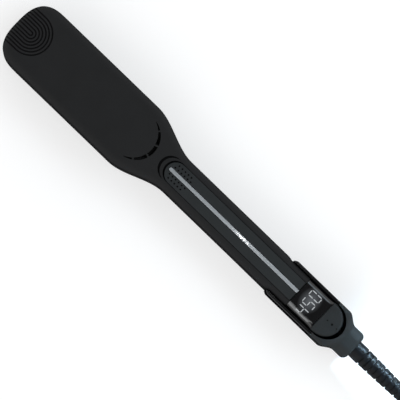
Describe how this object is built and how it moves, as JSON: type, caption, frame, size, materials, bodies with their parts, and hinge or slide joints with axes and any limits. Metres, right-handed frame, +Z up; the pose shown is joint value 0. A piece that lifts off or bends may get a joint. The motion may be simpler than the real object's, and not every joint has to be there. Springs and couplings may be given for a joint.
{
  "type": "flat iron",
  "caption": "Wide-plate salon flat iron with floating plates, spring hinge, digital display, hinge lock and swivelling cord, shown closed.",
  "frame": {"origin": "On the table under the middle of the closed iron, from its tip to the end of the strain relief.", "axes": "+X along the iron from the tip to the cord, +Z up through the display side, +Y across the iron, on the left when looking from the tip toward the cord with the display up."},
  "size_m": [0.5952, 0.0588, 0.0399],
  "materials": {
    "soft_touch_black": "soft-touch matte black moulding",
    "gloss_black": "high-gloss black moulding",
    "matte_charcoal": "fine matte charcoal moulding",
    "display_glass": "smoked glossy lens with lit white numerals behind it",
    "silver_trim": "satin silver foil trim",
    "titanium_plate": "titanium coated, finely polished",
    "steel": "bright steel",
    "black_steel": "black zinc plated steel",
    "heater_ceramic": "white fired ceramic",
    "tray_plastic": "heat-resistant glass-filled moulding",
    "pad_silicone": "red silicone",
    "circuit_board": "green solder mask",
    "bush_nylon": "natural nylon",
    "lead_sleeve": "dark silicone sleeve",
    "relief_rubber": "glossy black flexible moulding",
    "cord_jacket": "black flexible jacket",
    "tie_strap": "woven hook-and-loop strap",
    "plug_moulding": "black moulded plug",
    "plug_brass": "nickel-free brass blades"
  },
  "bodies": {
    "lower_arm": {"lower_shell": "soft_touch_black", "hinge_housing": "gloss_black", "tail_cover": "matte_charcoal", "lower_nose_cover": "soft_touch_black", "lower_inner_cover": "soft_touch_black", "lower_plate_carrier": "tray_plastic", "lower_float_pad_front": "pad_silicone", "lower_float_pad_rear": "pad_silicone", "lower_cover_screw_front": "black_steel", "lower_cover_screw_rear": "black_steel", "tail_screw_left": "black_steel", "tail_screw_right": "black_steel", "hinge_pin": "steel", "hinge_spring": "steel", "swivel_bush": "bush_nylon", "lower_lead": "lead_sleeve", "cord_lead": "cord_jacket", "cord_hank": "cord_jacket", "cord_tail": "cord_jacket", "cord_tie": "tie_strap", "plug_relief": "plug_moulding", "plug_body": "plug_moulding", "plug_blade_left": "plug_brass", "plug_blade_right": "plug_brass"},
    "lower_heating_plate": {"lower_plate": "titanium_plate", "lower_heater": "heater_ceramic", "thermal_fuse": "steel"},
    "upper_arm": {"upper_shell": "soft_touch_black", "grip_inlay": "matte_charcoal", "silver_strip": "silver_trim", "display_lens": "display_glass", "display_module": "gloss_black", "control_board": "circuit_board", "tail_cap": "matte_charcoal", "upper_nose_cover": "soft_touch_black", "upper_inner_cover": "soft_touch_black", "upper_plate_carrier": "tray_plastic", "upper_float_pad_front": "pad_silicone", "upper_float_pad_rear": "pad_silicone", "hinge_bracket": "steel", "hinge_bush_left": "bush_nylon", "hinge_bush_right": "bush_nylon", "lock_catch": "steel", "upper_cover_screw_front": "black_steel", "upper_cover_screw_rear": "black_steel", "upper_lead": "lead_sleeve"},
    "upper_heating_plate": {"upper_plate": "titanium_plate", "upper_heater": "heater_ceramic", "thermistor": "heater_ceramic"},
    "power_key": {"power_button": "gloss_black"},
    "minus_key": {"minus_button": "gloss_black"},
    "plus_key": {"plus_button": "gloss_black"},
    "lock": {"lock_slider": "gloss_black"},
    "cord_swivel": {"strain_relief": "relief_rubber"}
  },
  "joints": [
    {"name": "arm_hinge", "type": "hinge", "parent": "lower_arm", "child": "upper_arm", "pos_m": [0.1024, 0, 0.0165], "axis": [0, 1, 0], "range_deg": [0, 15]},
    {"name": "lower_plate_float", "type": "slide", "parent": "lower_arm", "child": "lower_heating_plate", "axis": [0, 0, -1], "range_m": [0, 0.0008], "stiffness_N_per_m": 6000, "springref_m": -0.0004},
    {"name": "upper_plate_float", "type": "slide", "parent": "upper_arm", "child": "upper_heating_plate", "axis": [0, 0, 1], "range_m": [0, 0.0008], "stiffness_N_per_m": 6000, "springref_m": -0.0004},
    {"name": "power_press", "type": "slide", "parent": "upper_arm", "child": "power_key", "axis": [0, 0, 1], "range_m": [0, 0.0006], "stiffness_N_per_m": 3000, "springref_m": -0.0003},
    {"name": "minus_press", "type": "slide", "parent": "upper_arm", "child": "minus_key", "axis": [0, 0, 1], "range_m": [0, 0.0006], "stiffness_N_per_m": 3000, "springref_m": -0.0003},
    {"name": "plus_press", "type": "slide", "parent": "upper_arm", "child": "plus_key", "axis": [0, 0, 1], "range_m": [0, 0.0006], "stiffness_N_per_m": 3000, "springref_m": -0.0003},
    {"name": "lock_slide", "type": "slide", "parent": "lower_arm", "child": "lock", "axis": [-1, 0, 0], "range_m": [0, 0.003]},
    {"name": "swivel_turn", "type": "hinge", "parent": "lower_arm", "child": "cord_swivel", "pos_m": [0.1313, 0, 0.0165], "axis": [1, 0, 0], "continuous": true}
  ]
}
